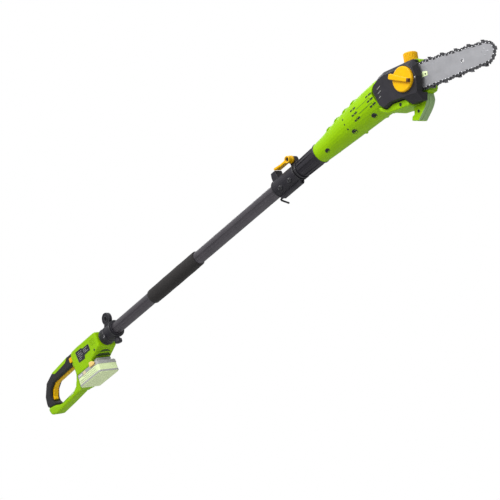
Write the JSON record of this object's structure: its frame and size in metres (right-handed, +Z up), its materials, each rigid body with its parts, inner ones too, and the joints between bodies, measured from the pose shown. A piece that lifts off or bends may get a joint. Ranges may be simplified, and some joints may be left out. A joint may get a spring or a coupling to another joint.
{
  "type": "telescoping pole saw",
  "caption": "Battery pole saw: D-handle with trigger, telescoping tube with foam grip and cam clamp, motor head with tilted cover, oil tank, branch hook, guide bar and chain",
  "frame": {"origin": "on the pole's axis, at the middle of the foam fore grip", "axes": "+X along the pole towards the saw head, +Y the side away from the sprocket cover, +Z up with the battery and the branch hook below the pole"},
  "size_m": [1.9465, 0.1024, 0.1728],
  "materials": {
    "lime_plastic": "moulded nylon, fine satin grain",
    "black_plastic": "glass filled nylon, matt grain",
    "grey_plastic": "moulded nylon, satin",
    "yellow_plastic": "moulded acetal, semi gloss",
    "pale_green_plastic": "moulded nylon, ribbed sides",
    "tank_plastic": "translucent polyethylene",
    "soft_rubber": "overmoulded elastomer, stippled",
    "foam": "closed cell foam",
    "tube_metal": "dark anodised extrusion",
    "steel": "zinc plated steel",
    "bar_steel": "ground and satin coated steel",
    "chain_steel": "blued steel, oiled",
    "cast_alloy": "die cast, tumbled",
    "brass_contacts": "stamped blades in a moulded block",
    "board_green": "glass fibre circuit board",
    "cell_wrap": "shrink wrapped cells"
  },
  "bodies": {
    "handle": {"handle_shell_left": "lime_plastic", "handle_shell_right": "lime_plastic", "rear_grip": "soft_rubber", "grip_inset": "lime_plastic", "trigger_pin": "steel", "panel_plate": "black_plastic", "main_switch": "black_plastic", "control_board": "board_green", "terminal_block": "brass_contacts", "handle_screw_1": "steel", "handle_screw_2": "steel", "handle_screw_3": "steel", "tube_collar": "black_plastic", "strap_eyelet": "black_plastic", "outer_tube": "tube_metal", "foam_grip": "foam", "clamp_body": "black_plastic", "clamp_bolt_1": "steel", "clamp_bolt_2": "steel", "lever_pin": "steel"},
    "trigger": {"trigger": "yellow_plastic"},
    "lock_button": {"lock_button": "yellow_plastic"},
    "battery": {"battery_tub": "pale_green_plastic", "battery_lid": "grey_plastic", "cell_pack": "cell_wrap"},
    "latch_left": {"battery_latch_left": "yellow_plastic"},
    "latch_right": {"battery_latch_right": "yellow_plastic"},
    "collar_knob": {"collar_knob": "black_plastic"},
    "cam_lever": {"cam_lever": "yellow_plastic"},
    "hex_key": {"hex_key": "steel"},
    "head": {"inner_tube": "tube_metal", "head_sleeve": "black_plastic", "head_shell_left": "lime_plastic", "head_shell_right": "lime_plastic", "head_screw_1": "steel", "head_screw_2": "steel", "head_screw_3": "steel", "motor_can": "steel", "motor_mount": "black_plastic", "gear_case": "cast_alloy", "gear_case_lid": "cast_alloy", "shaft_bearing_left": "steel", "shaft_bearing_right": "steel", "oil_tank": "tank_plastic", "bar_stud": "steel", "sprocket_cover": "black_plastic", "branch_hook": "lime_plastic", "hook_screw": "steel"},
    "rotor": {"rotor": "steel"},
    "drive": {"drive_shaft": "steel", "sprocket": "steel"},
    "oil_cap": {"oil_cap": "yellow_plastic"},
    "cover_knob": {"cover_knob": "yellow_plastic"},
    "bar": {"guide_bar": "bar_steel", "saw_chain": "chain_steel"}
  },
  "joints": [
    {"name": "pole_slide", "type": "slide", "parent": "handle", "child": "head", "axis": [1, 0, 0], "range_m": [0, 0.5]},
    {"name": "trigger_pull", "type": "hinge", "parent": "handle", "child": "trigger", "pos_m": [-0.7065, 0, -0.0465], "axis": [0, -1, 0], "range_deg": [0, 2.6], "stiffness_Nm_per_rad": 2, "springref_deg": -2.86},
    {"name": "lock_push", "type": "slide", "parent": "handle", "child": "lock_button", "axis": [0, 1, 0], "range_m": [0, 0.003], "stiffness_N_per_m": 600, "springref_m": -0.002},
    {"name": "battery_slide", "type": "slide", "parent": "handle", "child": "battery", "axis": [1, 0, 0], "range_m": [0, 0.1]},
    {"name": "latch_left_push", "type": "slide", "parent": "battery", "child": "latch_left", "axis": [0, 1, 0], "range_m": [0, 0.002], "stiffness_N_per_m": 600, "springref_m": -0.002},
    {"name": "latch_right_push", "type": "slide", "parent": "battery", "child": "latch_right", "axis": [0, -1, 0], "range_m": [0, 0.002], "stiffness_N_per_m": 600, "springref_m": -0.002},
    {"name": "collar_knob_turn", "type": "hinge", "parent": "handle", "child": "collar_knob", "pos_m": [-0.322, 0, -0.03], "axis": [0, 0, 1], "continuous": true},
    {"name": "cam_lever_flip", "type": "hinge", "parent": "handle", "child": "cam_lever", "pos_m": [0.55, 0, 0.0385], "axis": [0, 1, 0], "range_deg": [0, 110]},
    {"name": "hex_key_pull", "type": "slide", "parent": "handle", "child": "hex_key", "axis": [-1, 0, 0], "range_m": [0, 0.07]},
    {"name": "rotor_spin", "type": "hinge", "parent": "head", "child": "rotor", "pos_m": [0.8, 0, 0], "axis": [1, 0, 0], "continuous": true},
    {"name": "sprocket_spin", "type": "hinge", "parent": "head", "child": "drive", "pos_m": [0.926, 0, 0], "axis": [0, 1, 0], "continuous": true},
    {"name": "oil_cap_turn", "type": "hinge", "parent": "head", "child": "oil_cap", "pos_m": [0.9726, 0.003, -0.0151], "axis": [0.309, 0, 0.9511], "continuous": true},
    {"name": "cover_knob_turn", "type": "hinge", "parent": "head", "child": "cover_knob", "pos_m": [0.98497, 0, -0.01916], "axis": [0, -1, 0], "continuous": true},
    {"name": "bar_tension", "type": "slide", "parent": "head", "child": "bar", "axis": [0.9511, 0, -0.309], "range_m": [-0.003, 0]}
  ],
  "couplings": [
    {"joint": "sprocket_spin", "follows": "rotor_spin", "ratio": 0.5}
  ]
}
